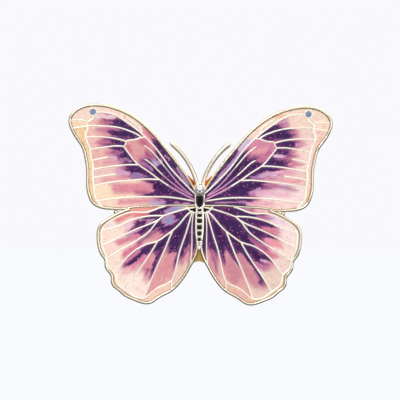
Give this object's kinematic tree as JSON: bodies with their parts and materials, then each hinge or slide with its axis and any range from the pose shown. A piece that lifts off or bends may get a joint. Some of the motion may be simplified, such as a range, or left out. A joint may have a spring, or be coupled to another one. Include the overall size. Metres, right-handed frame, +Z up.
{
  "type": "butterfly brooch",
  "caption": "Butterfly brooch: flat enamelled wings with metal borders and veins, a slim body and two antennae, with a hinged pin and a turning safety catch behind.",
  "frame": {"origin": "on the pin stem's axis, in the brooch's plane of symmetry, 3 mm behind the wings' backs and 3.4 mm above the waist where the four wings meet", "axes": "+Z up as worn, towards the head and antennae; +X to the viewer's right, along the pin from its hinge to its point; -Y out of the enamelled face towards the viewer"},
  "size_m": [0.06, 0.0083, 0.0455],
  "materials": {
    "gold_plate": "satin gilt, fine brushed back",
    "gold_border": "polished pale gilt",
    "gold_wire": "ground and polished, pale cream gold",
    "gold_body": "polished pale gilt",
    "polished_head": "high polish, silver gold",
    "shaded_enamel": "glossy hard enamel shaded from dark purple to rose and peach",
    "black_enamel": "glossy black enamel",
    "grey_blue_enamel": "glossy grey-blue enamel",
    "pin_metal": "plated, fine tumbled polish",
    "stem_metal": "drawn steel wire, gold plated"
  },
  "bodies": {
    "brooch": {"body_frame": "gold_body", "body_enamel": "black_enamel", "head": "polished_head", "solder_beads": "gold_border", "pin_bar": "pin_metal", "hinge_rivet": "pin_metal", "catch_housing": "pin_metal", "right_forewing_plate": "gold_plate", "right_forewing_border": "gold_border", "right_forewing_cloisons": "gold_wire", "right_forewing_enamel": "shaded_enamel", "right_hindwing_plate": "gold_plate", "right_hindwing_border": "gold_border", "right_hindwing_cloisons": "gold_wire", "right_hindwing_enamel": "shaded_enamel", "right_eyespot": "grey_blue_enamel", "right_antenna": "gold_border", "left_forewing_plate": "gold_plate", "left_forewing_border": "gold_border", "left_forewing_cloisons": "gold_wire", "left_forewing_enamel": "shaded_enamel", "left_hindwing_plate": "gold_plate", "left_hindwing_border": "gold_border", "left_hindwing_cloisons": "gold_wire", "left_hindwing_enamel": "shaded_enamel", "left_eyespot": "grey_blue_enamel", "left_antenna": "gold_border"},
    "pin": {"pin_stem": "stem_metal"},
    "safety_catch": {"catch_rotor": "pin_metal"}
  },
  "joints": [
    {"name": "pin_swing", "type": "hinge", "parent": "brooch", "child": "pin", "pos_m": [-0.0146, 0, 0], "axis": [0, 0, 1], "range_deg": [0, 78]},
    {"name": "catch_turn", "type": "hinge", "parent": "brooch", "child": "safety_catch", "pos_m": [0.0146, 0, 0], "axis": [1, 0, 0], "range_deg": [0, 105]}
  ]
}
